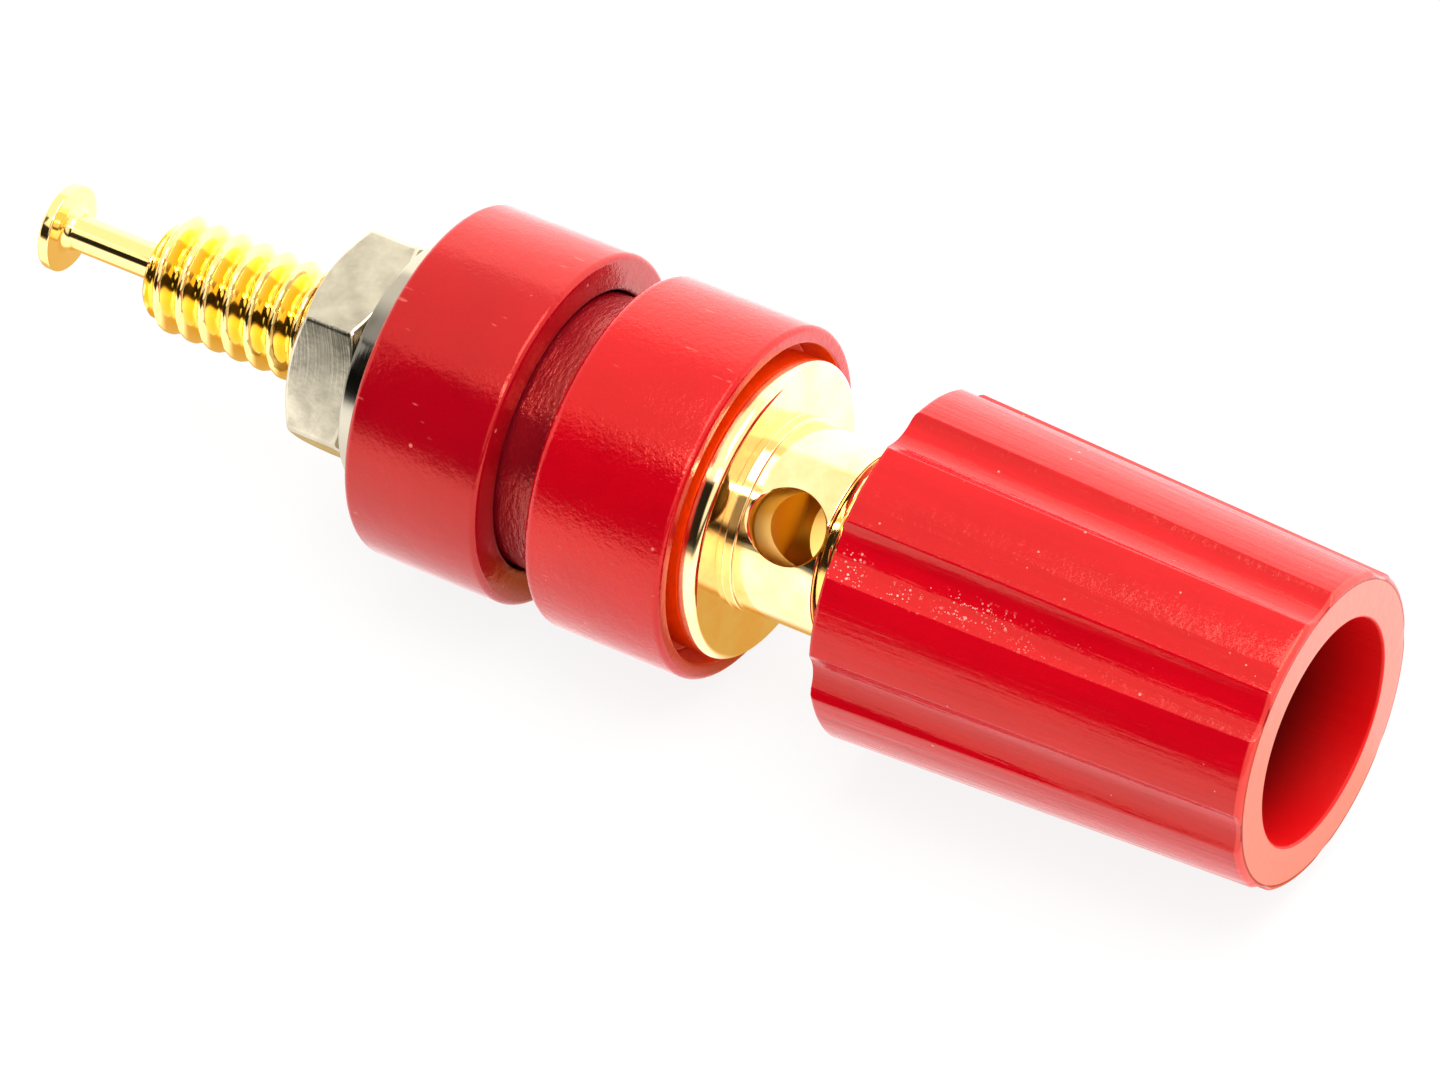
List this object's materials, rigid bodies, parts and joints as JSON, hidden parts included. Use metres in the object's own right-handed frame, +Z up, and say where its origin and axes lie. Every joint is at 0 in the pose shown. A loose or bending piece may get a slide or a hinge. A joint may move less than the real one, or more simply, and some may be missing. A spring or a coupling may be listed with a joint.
{
  "type": "banana socket",
  "caption": "Panel binding post for a 4 mm plug: gold-plated threaded post with wire hole and solder turret, red insulating rings, washer, hexagon nut and fluted screw knob.",
  "frame": {"origin": "on the post's axis, in the plane of the front insulator's face that seats on the panel", "axes": "+X along the post's axis from the solder turret to the knob's mouth, +Z up"},
  "size_m": [0.0571, 0.0144, 0.0144],
  "materials": {
    "gold_plating": "polished gold plating on turned brass",
    "red_insulator": "glossy moulded red plastic",
    "red_knob": "satin moulded red plastic",
    "nickel_plating": "nickel plating with tool marks",
    "plain_brass": "turned brass"
  },
  "bodies": {
    "post": {"contact_post": "gold_plating", "front_insulator": "red_insulator"},
    "rear_clamp": {"rear_insulator": "red_insulator", "washer": "nickel_plating"},
    "nut": {"hex_nut": "nickel_plating"},
    "knob_thread": {"knob_insert": "plain_brass"},
    "knob": {"knob_shell": "red_knob"}
  },
  "joints": [
    {"name": "rear_clamp_slide", "type": "slide", "parent": "post", "child": "rear_clamp", "axis": [1, 0, 0], "range_m": [-0.005, 0]},
    {"name": "nut_turn", "type": "hinge", "parent": "rear_clamp", "child": "nut", "pos_m": [-0.0112, 0, 0], "axis": [1, 0, 0], "range_deg": [-1705, 0]},
    {"name": "knob_travel", "type": "slide", "parent": "post", "child": "knob_thread", "axis": [1, 0, 0], "range_m": [-0.0056, 0.001]},
    {"name": "knob_turn", "type": "hinge", "parent": "knob_thread", "child": "knob", "pos_m": [0.0201, 0, 0], "axis": [1, 0, 0], "range_deg": [-2020, 364]}
  ],
  "couplings": [
    {"joint": "nut_turn", "follows": "rear_clamp_slide", "rad_per_m": 5936.9},
    {"joint": "knob_turn", "follows": "knob_travel", "rad_per_m": 6283.2}
  ]
}
